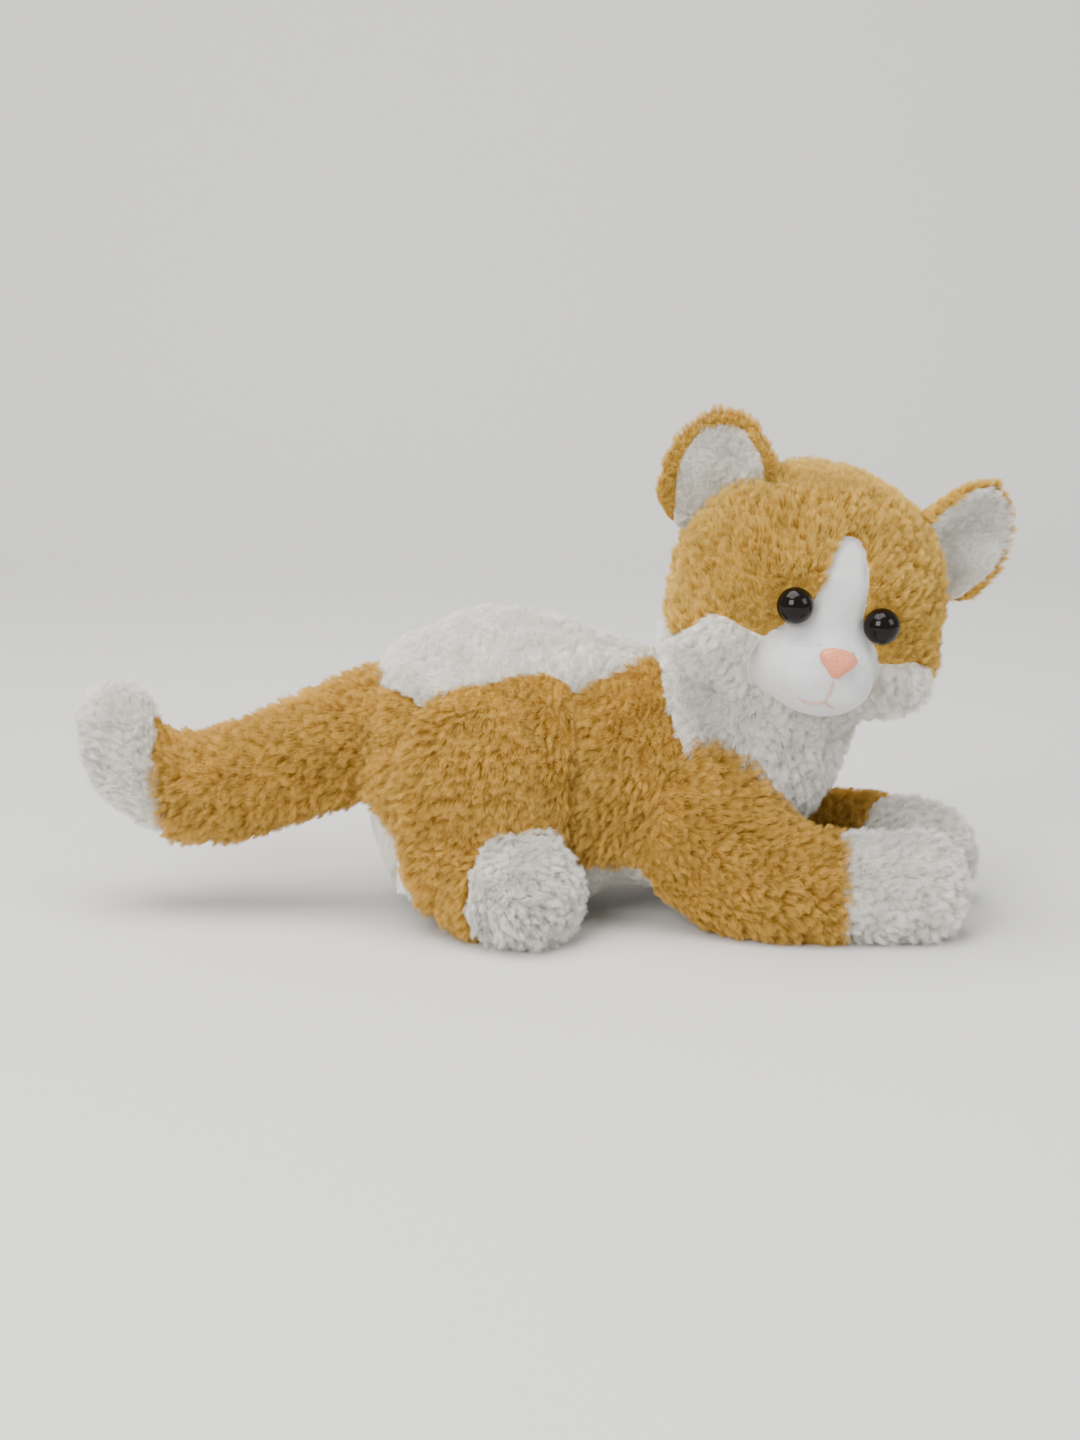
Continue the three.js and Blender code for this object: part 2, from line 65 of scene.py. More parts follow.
# ---- Shapes shared with the CAD, in millimetres ----
HEAD_CENTRE = np.array([110.0, -20.0, 138.0])
HEAD_HALF = np.array([46.0, 54.0, 49.0])
HEAD_MATRIX = Matrix.Rotation(math.radians(-79), 3, "Z") @ Matrix.Rotation(math.radians(-15), 3, "X")
HEAD_TURN = np.array(HEAD_MATRIX)


def from_head(points):
    """The head's own axes, x out of the face, y to its left and z up, to the frame's."""
    return points @ HEAD_TURN.T + HEAD_CENTRE


# ---- Meshes as arrays ----
def spline(a, b, c, d, u):
    """The Catmull-Rom curve from b to c at the share u, with a and d as its neighbours."""
    bend = 2 * a - 5 * b + 4 * c - d
    return 0.5 * (2 * b + (c - a) * u + bend * u**2 + (3 * b - a - 3 * c + d) * u**3)


def catmull(points, steps):
    """A smooth open curve through points, as steps + 1 samples."""
    p = np.asarray(points, float)
    p = np.vstack([2 * p[0] - p[1], p, 2 * p[-1] - p[-2]])
    t = np.linspace(0, len(p) - 3, steps + 1)
    i = np.minimum(t.astype(int), len(p) - 4)
    u = (t - i)[:, None]
    return spline(p[i], p[i + 1], p[i + 2], p[i + 3], u)


def loop(points, steps=10):
    """A smooth closed outline through points."""
    p = np.asarray(points, float)
    n = len(p)
    out = []
    for i in range(n):
        a, b, c, d = p[i - 1], p[i], p[(i + 1) % n], p[(i + 2) % n]
        for u in np.arange(steps) / steps:
            out.append(spline(a, b, c, d, u))
    return np.array(out)


def ellipsoid(centre, half, sides=48, rings=32):
    """Points and faces of an ellipsoid with half sizes half."""
    polar = np.linspace(0, math.pi, rings + 1)[1:-1]
    around = np.arange(sides) * 2 * math.pi / sides
    ring = np.stack([np.cos(around), np.sin(around)], 1)
    points = [np.array([[0, 0, 1.0]])]
    for a in polar:
        points.append(np.column_stack([ring * math.sin(a), np.full(sides, math.cos(a))]))
    points.append(np.array([[0, 0, -1.0]]))
    return np.vstack(points) * half + centre, ring_faces(sides, rings - 1)


def ring_faces(sides, rings):
    """Faces of a stack of rings between two poles: point 0 and the last point."""
    faces = []
    last = rings * sides + 1
    for k in range(sides):
        n = (k + 1) % sides
        faces.append((0, 1 + k, 1 + n))
        base = 1 + (rings - 1) * sides
        faces.append((last, base + n, base + k))
        for r in range(rings - 1):
            a, b = 1 + r * sides, 1 + (r + 1) * sides
            faces.append((a + k, b + k, b + n, a + n))
    return faces


DOME_SHARE = 0.2  # of a tube's rings, at each end
SPINE_STEPS = 200


def stuffed_tube(spine, wide, tall, domes, sides=40, rings=48):
    """The CAD's stuffed shape: elliptic rings along a spine, with domed ends."""
    shares = np.linspace(0, 1, rings + 1)[1:-1]
    along = np.clip((shares - DOME_SHARE) / (1 - 2 * DOME_SHARE), 0, 1)
    curve = catmull(spine, SPINE_STEPS)
    sizes = catmull(np.column_stack([wide, tall]), SPINE_STEPS)
    tangents = np.gradient(curve, axis=0)
    around = np.arange(sides) * 2 * math.pi / sides
    points = []

    def at(s):
        """The place, direction and half sizes at the share s of the spine."""
        i = int(round(s * SPINE_STEPS))
        return curve[i], tangents[i] / np.linalg.norm(tangents[i]), sizes[i]

    for share, s in zip(shares, along):
        angle = min(min(share, 1 - share) / DOME_SHARE, 1) * math.pi / 2
        c, t, size = at(s)
        side = Y - np.dot(Y, t) * t
        side /= np.linalg.norm(side)
        rise = np.cross(t, side)
        push = (-domes[0] if share < 0.5 else domes[1]) * math.cos(angle)
        swell = math.sin(angle)
        sideways = np.outer(np.cos(around) * size[0] * swell, side)
        upwards = np.outer(np.sin(around) * size[1] * swell, rise)
        points.append(c + t * push + sideways + upwards)
    first, last = at(0), at(1)
    ends = [first[0] - first[1] * domes[0]], [last[0] + last[1] * domes[1]]
    return np.vstack([ends[0], *points, ends[1]]), ring_faces(sides, rings - 1)


def make_object(name, points, faces, material=None):
    """A Blender object from points in millimetres."""
    mesh = bpy.data.meshes.new(name)
    mesh.from_pydata((np.asarray(points) * MM).tolist(), [], faces)
    mesh.update()
    mesh.polygons.foreach_set("use_smooth", [True] * len(mesh.polygons))
    if material:
        mesh.materials.append(material)
    obj = bpy.data.objects.new(name, mesh)
    bpy.context.scene.collection.objects.link(obj)
    return obj


def arrays(mesh):
    """Vertices in millimetres and quad faces of a mesh."""
    co = np.empty(len(mesh.vertices) * 3)
    mesh.vertices.foreach_get("co", co)
    quads = np.empty(len(mesh.loops), int)
    mesh.loops.foreach_get("vertex_index", quads)
    return co.reshape(-1, 3) / MM, quads.reshape(-1, 4)


def outer_shell(v, q):
    """Only the largest connected piece of a quad mesh."""
    label = np.arange(len(v))
    edges = np.vstack([q[:, [0, 1]], q[:, [1, 2]], q[:, [2, 3]]])
    while True:
        low = np.minimum(label[edges[:, 0]], label[edges[:, 1]])
        new = label.copy()
        np.minimum.at(new, edges[:, 0], low)
        np.minimum.at(new, edges[:, 1], low)
        new = new[new]
        if (new == label).all():
            break
        label = new
    keep = label == np.bincount(label).argmax()
    index = np.cumsum(keep) - 1
    return v[keep], index[q[keep[q[:, 0]]]]


def remesh(shapes, voxel):
    """The union of closed shapes as one even quad skin."""
    points, faces, offset = [], [], 0
    for v, f in shapes:
        points.append(v)
        faces += [tuple(i + offset for i in face) for face in f]
        offset += len(v)
    obj = make_object("soft", np.vstack(points), faces)
    modifier = obj.modifiers.new("voxels", "REMESH")
    modifier.mode = "VOXEL"
    modifier.voxel_size = voxel * MM
    graph = bpy.context.evaluated_depsgraph_get()
    mesh = bpy.data.meshes.new_from_object(obj.evaluated_get(graph))
    v, q = arrays(mesh)
    bpy.data.meshes.remove(mesh)
    bpy.data.objects.remove(obj)
    return outer_shell(v, q)


PROBE = 0.2  # the step that a seam's direction is measured with
LEAST_SLOPE = 0.15
SNAP_REACH = 0.55  # of an edge's length


class Skin:
    """A closed quad skin that is smoothed, pushed and then cut into fabric panels."""

    def __init__(self, shapes, voxel=2.6, rounds=12):
        """The union of the shapes, eased by some rounds of smoothing."""
        self.v, self.q = remesh(shapes, voxel)
        self.smooth(rounds)

    def neighbours(self):
        """Both directions of every edge, as pairs of points."""
        q = self.q
        pairs = np.vstack([q[:, [0, 1]], q[:, [1, 2]], q[:, [2, 3]], q[:, [3, 0]]])
        return np.vstack([pairs, pairs[:, ::-1]])

    def smooth(self, rounds):
        """Moves each point half way to the mean of its neighbours."""
        pairs = self.neighbours()
        count = np.bincount(pairs[:, 0], minlength=len(self.v))[:, None]
        for _ in range(rounds):
            total = np.zeros_like(self.v)
            for axis in range(3):
                total[:, axis] = np.bincount(pairs[:, 0], self.v[pairs[:, 1], axis], len(self.v))
            self.v += 0.5 * (total / count - self.v)

    def normals(self):
        """Unit outward normals, one per point."""
        a, b, c, d = (self.v[self.q[:, k]] for k in range(4))
        face = np.cross(c - a, d - b)
        total = np.zeros_like(self.v)
        for k in range(4):
            for axis in range(3):
                total[:, axis] += np.bincount(self.q[:, k], face[:, axis], len(self.v))
        return total / np.maximum(np.linalg.norm(total, axis=1), 1e-9)[:, None]

    def push(self, amount):
        """Moves each point along its normal by amount, a number or one per point."""
        self.v = self.v + self.normals() * (amount if np.isscalar(amount) else amount[:, None])

    def swell(self, centre, radii, amount):
        """A soft bulge, or a dent if amount is negative, of gaussian shape."""
        d = self.v - np.asarray(centre, float)
        self.push(amount * np.exp(-((d / np.asarray(radii, float)) ** 2).sum(1)))

    def groove(self, distance, depth, width):
        """A seam along distance = 0, pulled in by depth."""
        self.push(-depth * np.exp(-((distance(self.v) / width) ** 2)))

    def flatten(self):
        """Rests on the table: nothing reaches below it."""
        self.v[:, 2] = np.maximum(self.v[:, 2], 0)

    def subdivide(self):
        """Each quad in four, with the points eased."""
        v, q = self.v, self.q
        pairs = np.sort(np.vstack([q[:, [0, 1]], q[:, [1, 2]], q[:, [2, 3]], q[:, [3, 0]]]), axis=1)
        unique, inverse = np.unique(pairs, axis=0, return_inverse=True)
        inverse = inverse.reshape(-1)
        n, m = len(v), len(q)
        edge_points = v[unique].mean(1)
        face_points = v[q].mean(1)
        e = n + inverse.reshape(4, m).T
        f = n + len(unique) + np.arange(m)
        quads = [np.column_stack([q[:, k], e[:, k], f, e[:, k - 1]]) for k in range(4)]
        self.v = np.vstack([v, edge_points, face_points])
        self.q = np.vstack(quads)
        self.smooth(1)

    def snap(self, distance, reach):
        """Slides points that lie near distance = 0 onto it, so that a seam runs smoothly."""
        for _ in range(2):
            g = distance(self.v)
            near = np.abs(g) < reach
            p, n = self.v[near], self.normals()[near]
            rises = [(distance(p + PROBE * axis) - g[near]) / PROBE for axis in np.eye(3)]
            gradient = np.stack(rises, 1)
            tangent = gradient - (gradient * n).sum(1)[:, None] * n
            slope = (tangent * gradient).sum(1)
            move = -g[near][:, None] * tangent / np.maximum(slope, LEAST_SLOPE)[:, None]
            length = np.linalg.norm(move, axis=1)[:, None]
            self.v[near] = p + move * np.minimum(1, reach / np.maximum(length, 1e-9))

    def panels(self, regions, rest):
        """{name: (points, faces)}: each face goes to the first region whose distance is negative there."""
        edge = np.linalg.norm(self.v[self.q[:, 0]] - self.v[self.q[:, 1]], axis=1).mean()
        for _, distance in regions:
            self.snap(distance, SNAP_REACH * edge)
        centres = self.v[self.q].mean(1)
        owner = np.full(len(self.q), len(regions))
        for k in reversed(range(len(regions))):
            owner[regions[k][1](centres) < 0] = k
        out = {}
        for k, name in enumerate([name for name, _ in regions] + [rest]):
            faces = self.q[owner == k]
            used, inverse = np.unique(faces, return_inverse=True)
            out[name] = (self.v[used], inverse.reshape(-1, 4))
        return out


def outline_distance(outline, u, v):
    """A signed distance to a closed outline in the plane of two axes: negative inside."""
    outline = np.asarray(outline)

    def distance(points):
        x = np.column_stack([points @ u, points @ v])
        a, b = outline, np.roll(outline, -1, axis=0)
        best = np.full(len(x), 1e9)
        inside = np.zeros(len(x), bool)
        for (ax, ay), (bx, by) in zip(a, b):
            dx, dy = bx - ax, by - ay
            t = np.clip(((x[:, 0] - ax) * dx + (x[:, 1] - ay) * dy) / (dx * dx + dy * dy + 1e-9), 0, 1)
            best = np.minimum(best, np.hypot(x[:, 0] - ax - t * dx, x[:, 1] - ay - t * dy))
            crosses = (ay > x[:, 1]) != (by > x[:, 1])
            inside ^= crosses & (x[:, 0] < ax + (x[:, 1] - ay) * dx / (dy if dy else 1e-9))
        return np.where(inside, -best, best)

    return distance


# ---- Materials ----
# The last of these sizes the patches of painted highlight and shade that stand in for light caught by
# brushed-over nap.
CLUMPS, HAIRS, NAP_SHEEN_PATCHES = 420, 1400, 70  # per metre


def new_material(name):
    """A material with its node tree and its shader."""
    material = bpy.data.materials.new(name)
    material.use_nodes = True
    tree = material.node_tree
    return material, tree, tree.nodes["Principled BSDF"]


def node(tree, kind, **values):
    """A node with some of its inputs set."""
    made = tree.nodes.new(kind)
    for key, value in values.items():
        if key in made.inputs:
            made.inputs[key].default_value = value
        else:
            setattr(made, key, value)
    return made


def blotches(tree, scale, detail=3.0, stretch=(1, 1, 1)):
    """Noise that follows the object, in features per metre."""
    place = node(tree, "ShaderNodeTexCoord")
    mapping = node(tree, "ShaderNodeMapping", Scale=stretch)
    cloud = node(tree, "ShaderNodeTexNoise", Scale=scale, Detail=detail)
    tree.links.new(place.outputs["Object"], mapping.inputs["Vector"])
    tree.links.new(mapping.outputs["Vector"], cloud.inputs["Vector"])
    return cloud.outputs["Fac"]


def ramp(tree, value, stops):
    """A colour that follows a value through some stops."""
    made = tree.nodes.new("ShaderNodeValToRGB")
    for element, (position, colour) in zip(made.color_ramp.elements, (stops[0], stops[-1])):
        element.position = position
        element.color = (*colour, 1)
    for position, colour in stops[1:-1]:
        made.color_ramp.elements.new(position).color = (*colour, 1)
    tree.links.new(value, made.inputs["Fac"])
    return made.outputs["Color"]


def mix(tree, factor, a, b, blend="MIX"):
    """Two colours blended by a factor."""
    made = node(tree, "ShaderNodeMix", data_type="RGBA", blend_type=blend)
    for socket, value in (("Factor", factor), ("A", a), ("B", b)):
        wanted = "VALUE" if socket == "Factor" else "RGBA"
        target = next(s for s in made.inputs if s.name == socket and s.type == wanted)
        if isinstance(value, (int, float)):
            target.default_value = value
        elif isinstance(value, tuple):
            target.default_value = (*value, 1)
        else:
            tree.links.new(value, target)
    return next(s for s in made.outputs if s.type == "RGBA")


def fur_material(name, root, middle, tip, sheen):
    """Pile: darker between the clumps, paler at the hair tips, with patches of painted highlight and shade for
    the light that brushed-over nap catches.
    """
    material, tree, shader = new_material(name)
    clumps = ramp(tree, blotches(tree, CLUMPS, 4), [(0.3, root), (0.62, middle)])
    hair = tree.nodes.new("ShaderNodeHairInfo")
    along = ramp(tree, hair.outputs["Intercept"], [(0.0, root), (0.45, middle), (1.0, tip)])
    strand = mix(tree, hair.outputs["Is Strand"], clumps, along)
    # Painted highlight and shade: the pile is made paler or darker in patches, standing in for the light that
    # brushed-over nap catches.
    nap_sheen_levels = [(0.3, (0.86, 0.86, 0.86)), (0.7, (1.08, 1.08, 1.08))]
    nap_sheen_patches = ramp(tree, blotches(tree, NAP_SHEEN_PATCHES, 2), nap_sheen_levels)
    colour = mix(tree, 1.0, strand, nap_sheen_patches, "MULTIPLY")
    tree.links.new(colour, shader.inputs["Base Color"])
    shader.inputs["Roughness"].default_value = 0.85
    shader.inputs["Specular IOR Level"].default_value = 0.2
    shader.inputs["Sheen Weight"].default_value = sheen
    bump = node(tree, "ShaderNodeBump", Strength=0.5, Distance=0.0006)
    tree.links.new(blotches(tree, HAIRS, 5), bump.inputs["Height"])
    tree.links.new(bump.outputs["Normal"], shader.inputs["Normal"])
    return material


def velour_material(name, dark, light):
    """Short smooth pile, a little brushed."""
    material, tree, shader = new_material(name)
    colour = ramp(tree, blotches(tree, 160, 4), [(0.3, dark), (0.7, light)])
    tree.links.new(colour, shader.inputs["Base Color"])
    shader.inputs["Roughness"].default_value = 0.9
    shader.inputs["Specular IOR Level"].default_value = 0.15
    shader.inputs["Sheen Weight"].default_value = 0.5
    bump = node(tree, "ShaderNodeBump", Strength=0.25, Distance=0.0003)
    tree.links.new(blotches(tree, 2600, 3), bump.inputs["Height"])
    tree.links.new(bump.outputs["Normal"], shader.inputs["Normal"])
    return material


def cloth_material(name, colour, roughness, scale=1800, strength=0.3):
    """A woven tape or thread."""
    material, tree, shader = new_material(name)
    dark = tuple(c * 0.8 for c in colour)
    mottled = ramp(tree, blotches(tree, scale, 2), [(0.35, dark), (0.65, colour)])
    tree.links.new(mottled, shader.inputs["Base Color"])
    shader.inputs["Roughness"].default_value = roughness
    shader.inputs["Sheen Weight"].default_value = 0.2
    bump = node(tree, "ShaderNodeBump", Strength=strength, Distance=0.0002)
    tree.links.new(blotches(tree, scale, 2, (1, 1, 0.3)), bump.inputs["Height"])
    tree.links.new(bump.outputs["Normal"], shader.inputs["Normal"])
    return material


def gloss_material(name, colour, roughness=0.04):
    """Polished plastic."""
    material, _, shader = new_material(name)
    shader.inputs["Base Color"].default_value = (*colour, 1)
    shader.inputs["Roughness"].default_value = roughness
    shader.inputs["Specular IOR Level"].default_value = 0.2
    return material


GINGER = fur_material(
    "ginger pile", (0.33, 0.15, 0.015), (0.60, 0.335, 0.045), (0.81, 0.52, 0.125), sheen=0.03
)
GINGER_HEAD = fur_material(
    "ginger head pile", (0.40, 0.20, 0.024), (0.68, 0.415, 0.065), (0.86, 0.605, 0.155), sheen=0.03
)
WHITE = fur_material("white pile", (0.84, 0.81, 0.71), (0.95, 0.93, 0.86), (0.98, 0.965, 0.91), sheen=0.1)
VELOUR = velour_material("white velour", (0.58, 0.585, 0.585), (0.67, 0.67, 0.665))
NOSE = cloth_material("nose satin", (0.82, 0.27, 0.14), 0.42, 900, 0.1)
THREAD = cloth_material("mouth thread", (0.72, 0.42, 0.36), 0.7)
LABEL = cloth_material("label satin", (0.80, 0.78, 0.79), 0.5, 2400, 0.1)
EYE = gloss_material("eye acrylic", (0.006, 0.004, 0.003))

# ---- Fur ----
# Per kind of pile: length in millimetres, lean as the share of growth that follows the brushing,
# clump as how far hairs draw together, and curl as a share of WAVES.
LONG_PILE = {"length": 8.5, "lean": 0.50, "clump": 0.30, "curl": 0.5}
HEAD_PILE = {"length": 8.5, "lean": 0.50, "clump": 0.22, "curl": 0.4}
EAR_PILE = {"length": 5.0, "lean": 0.60, "clump": 0.20, "curl": 0.4}
SHORT_PILE = {"length": 4.5, "lean": 0.50, "clump": 0.30, "curl": 0.5}
WHITE_PILE = {"length": 7.5, "lean": 0.45, "clump": 0.40, "curl": 0.6}
SPEED_SHARE = 0.25  # a hair grows to four times its speed
RANDOM_SHARE = 0.25  # of the speed, in any direction
PARENTS_PER_CM2 = 22
LEAST_PARENTS = 40
CHILDREN = 34
CM2_PER_M2 = 1e4
WAVES = {"long": 0.0022, "size": 0.006, "fine": 0.0028, "end": 0.0014}  # of hairs with a curl of 1, metres


def grow_fur(obj, pile, seed, comb=(0, 0, 0), thin=None):
    """Hair over a skin. comb is the way it is brushed, and thin a share of hair per vertex."""
    area = sum(p.area for p in obj.data.polygons) * CM2_PER_M2
    modifier = obj.modifiers.new("fur", "PARTICLE_SYSTEM")
    system = modifier.particle_system
    system.seed = seed
    s = system.settings
    s.type = "HAIR"
    s.count = max(LEAST_PARENTS, int(area * PARENTS_PER_CM2))
    s.hair_step = 4
    s.hair_length = pile["length"] * MM
    s.use_advanced_hair = True
    speed = pile["length"] * MM * SPEED_SHARE
    s.normal_factor = speed * (1 - pile["lean"])
    s.object_align_factor = tuple(c * speed * pile["lean"] for c in comb)
    s.factor_random = RANDOM_SHARE * speed
    s.child_type = "INTERPOLATED"
    s.child_percent = 6
    s.rendered_child_count = CHILDREN
    s.clump_factor = pile["clump"]
    s.clump_shape = 0.1
    s.roughness_1 = WAVES["long"] * pile["curl"]
    s.roughness_1_size = WAVES["size"]
    s.roughness_2 = WAVES["fine"] * pile["curl"]
    s.roughness_endpoint = WAVES["end"] * pile["curl"]
    s.render_step = 3
    s.display_step = 2
    s.root_radius = 0.10
    s.tip_radius = 0.04
    s.radius_scale = MM
    if thin is not None:
        group = obj.vertex_groups.new(name="thin")
        for k, share in enumerate(thin):
            group.add([k], float(share), "REPLACE")
        system.vertex_group_density = "thin"


WARP_SCALE, WARP, TUFT_STEEPNESS, FINE_SCALE = 0.45, 1.3, 2.2, 2.3


def clump_relief(points, normals, height, size):
    """The pile's own surface: tufts about size across that lean over each other."""
    scale = 1 / size
    out = np.empty(len(points))
    for k, p in enumerate(points):
        q = Vector(p) * scale
        warp = noise.noise_vector(q * WARP_SCALE) * WARP
        tuft = 1 - abs(noise.noise(q + warp)) * TUFT_STEEPNESS
        fine = noise.noise(q * FINE_SCALE + warp)
        out[k] = 0.7 * tuft + 0.3 * fine
    return points + normals * (out * height)[:, None]


def furnish(skin, height, size):
    """Subdivides a finished skin and raises its tufts."""
    skin.subdivide()
    skin.v = clump_relief(skin.v, skin.normals(), height, size)


def make_panels(skin, regions, rest):
    """Blender objects for a skin's panels, not yet dressed."""
    parts = skin.panels(regions, rest)
    return {name: make_object(name, v, f.tolist()) for name, (v, f) in parts.items() if len(f)}


def dress(obj, material, nodes):
    """Gives a skin its material, the nodes it stands for and its padding."""
    obj.data.materials.append(material)
    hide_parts(*nodes)


# ---- Torso ----
TRUNK = {
    "spine": [(-50, 0, 60), (-20, 0, 61), (10, 0, 63), (35, 0, 63), (62, 0, 58), (82, 0, 61)],
    "wide": [39, 46, 45, 42, 41, 37],
    "tall": [56, 67, 62, 50, 46, 38],
    "domes": [19, 22],
}
CHEST = {
    "spine": [(72, 0, 56), (87, -3, 78), (97, -8, 100)],
    "wide": [34, 36, 33],
    "tall": [34, 35, 33],
    "domes": [20, 16],
}
SADDLE = loop(
    [(-68, 0), (-60, -19), (-48, -31), (-33, -35.5), (-4, -32.5), (20, -29), (34, -22), (46, -9), (51, 0)]
    + [(46, 9), (34, 22), (20, 29), (-4, 32.5), (-33, 35.5), (-48, 31), (-60, 19)]
)
BELLY = (
    [(-90, -20), (64, -20), (64, 26), (45, 30), (20, 27)]
    + [(-30, 26), (-46, 31), (-58, 43), (-70, 53), (-90, 62)]
)
BIB = (
    [(64, -20), (160, -20), (160, 140), (50, 140), (50, 104)]
    + [(53, 92), (58, 79), (65, 66), (75, 55), (86, 43), (64, 26)]
)
SADDLE_LEVEL = 85

top_view_saddle = outline_distance(SADDLE, X, Y)
side_view_belly = outline_distance(BELLY, X, Z)
side_view_bib = outline_distance(BIB, X, Z)
torso_regions = [
    ("back_saddle", lambda p: np.maximum(top_view_saddle(p), SADDLE_LEVEL - p[:, 2])),
    ("belly_skin", side_view_belly),
    ("bib_skin", side_view_bib),
    ("body_right", lambda p: p[:, 1]),
]


def build_torso():
    """The trunk and chest: saddle, belly, bib and two sides."""
    skin = Skin(
        [
            stuffed_tube(**TRUNK),
            stuffed_tube(**CHEST),
            ellipsoid((99, -10, 104), (35, 36, 24)),
            ellipsoid((66, -30, 44), (27, 17, 32)),
            ellipsoid((66, 30, 44), (27, 17, 32)),
            ellipsoid((-62, 0, 76), (18, 25, 25)),
        ],
        rounds=14,
    )
    for side in (-1, 1):
        skin.swell((17, side * 44, 62), (6.5, 24, 44), -10.0)
        skin.swell((-4, side * 44, 72), (16, 20, 24), 2.5)
        skin.swell((44, side * 42, 66), (16, 20, 26), 3.0)
        skin.swell((30, side * 42, 22), (26, 22, 12), -3.0)
    skin.swell((118, 0, 62), (16, 26, 24), 2.5)
    for _, distance in torso_regions[:3]:
        skin.groove(distance, depth=1.3, width=2.2)
    skin.flatten()
    furnish(skin, height=0.55, size=4.5)
    skin.flatten()
    made = make_panels(skin, torso_regions, "body_left")
    dress(made["back_saddle"], WHITE, ["back_saddle_panel"])
    grow_fur(made["back_saddle"], SHORT_PILE, 11, (-1, 0, 0))
    dress(made["belly_skin"], WHITE, ["belly_panel", "torso_filling"])
    grow_fur(made["belly_skin"], SHORT_PILE, 12, (-1, 0, -0.15))
    dress(made["bib_skin"], WHITE, ["bib_panel"])
    grow_fur(made["bib_skin"], WHITE_PILE, 13, (0.1, 0, -1))
    for name, seed in (("body_right", 14), ("body_left", 15)):
        cad = name.replace("body", "body_side")
        dress(made[name], GINGER, [cad])
        grow_fur(made[name], LONG_PILE, seed, (-0.7, 0, -0.5))
    for obj in made.values():
        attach(obj, "torso")


# ---- Legs ----
FORE_SPINES = {
    "right": [(70, -36, 27), (98, -44, 21), (128, -45, 19.5), (154, -44, 19.5)],
    "left": [(70, 36, 27), (98, 40, 21), (132, 30, 19.5), (164, 8, 19.5)],
}
FORE_LIMB = {"wide": [18, 20, 20, 20.5], "tall": [24, 22.5, 21, 21.5], "domes": [8, 17]}
FORE_PAW = {"right": ((122, -44, 20), 0), "left": ((145, 20, 20), -32)}
PAW_TOP = 45
HIND_LIMB = {"wide": [18, 22, 23], "tall": [19, 20, 20.5], "domes": [10, 15]}


def hind_spine(side):
    """The middle line of a hind leg, from the hip to the toes."""
    return [(-28, side * 36, 27), (-16, side * 47, 21), (-4, side * 56, 20)]


def paw_plane(at, degrees):
    """A distance that is negative beyond an upright plane, towards the toes."""
    facing = np.array([math.cos(math.radians(degrees)), math.sin(math.radians(degrees)), 0])
    return lambda p: -(p - np.array(at)) @ facing


def build_foreleg(name, side):
    """A sleeve from the shoulder, and its paw."""
    skin = Skin(
        [
            stuffed_tube(FORE_SPINES[name], **FORE_LIMB),
            ellipsoid((66, side * 32, 44), (28, 21, 35)),
            ellipsoid((82, side * 38, 32), (24, 20, 24)),
        ],
        rounds=14,
    )
    skin.flatten()
    paw = paw_plane(*FORE_PAW[name])
    skin.groove(paw, depth=0.9, width=2.0)
    furnish(skin, height=0.5, size=4.2)
    skin.flatten()
    made = make_panels(skin, [(f"forepaw_skin_{name}", paw)], f"foreleg_skin_{name}")
    toes = np.subtract(FORE_SPINES[name][-1], FORE_SPINES[name][0])
    forward = tuple(toes / np.linalg.norm(toes))
    body = f"foreleg_{name}"
    sleeve, mitten = made[f"foreleg_skin_{name}"], made[f"forepaw_skin_{name}"]
    dress(sleeve, GINGER, [f"foreleg_sleeve_{name}", f"foreleg_filling_{name}"])
    grow_fur(sleeve, LONG_PILE, 21 + side, forward)
    dress(mitten, WHITE, [f"forepaw_{name}"])
    grow_fur(mitten, WHITE_PILE, 25 + side, forward)
    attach(mitten, body)
    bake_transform(sleeve)


def build_hindleg(name, side):
    """A thigh and its paw."""
    skin = Skin(
        [
            stuffed_tube(hind_spine(side), **HIND_LIMB),
            ellipsoid((-24, side * 34, 60), (34, 19, 44)),
            ellipsoid((-30, side * 36, 34), (24, 18, 26)),
        ],
        rounds=14,
    )
    skin.flatten()
    paw = paw_plane((-19, side * 50, 20), side * 38)
    low_paw = lambda p: np.maximum(paw(p), p[:, 2] - PAW_TOP)
    skin.groove(low_paw, depth=1.2, width=2.2)
    furnish(skin, height=0.55, size=4.2)
    skin.flatten()
    made = make_panels(skin, [(f"hindpaw_skin_{name}", low_paw)], f"thigh_skin_{name}")
    body = f"hindleg_{name}"
    thigh, foot = made[f"thigh_skin_{name}"], made[f"hindpaw_skin_{name}"]
    dress(thigh, GINGER, [f"thigh_cover_{name}", f"hindleg_filling_{name}"])
    grow_fur(thigh, LONG_PILE, 31 + side, (-0.4, 0, -0.9))
    dress(foot, WHITE, [f"hindpaw_{name}"])
    grow_fur(foot, WHITE_PILE, 35 + side, (0.5, side * 0.8, -0.2))
    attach(thigh, body)
    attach(foot, body)


# ---- Tail ----
TAIL = {
    "spine": [(-62, 0, 79), (-100, 0, 64.5), (-128, 0, 54.5), (-152, 0, 53.5), (-170, 0, 62), (-177, 0, 79)],
    "wide": [20.5, 20.5, 20, 19.5, 17.5, 15],
    "tall": [24, 22, 21, 20, 18, 14.5],
    "domes": [11, 14],
}
TIP_SEAM, TIP_SLANT = (-159, 56), 0.18  # where the seam crosses the tail's middle, in x and z


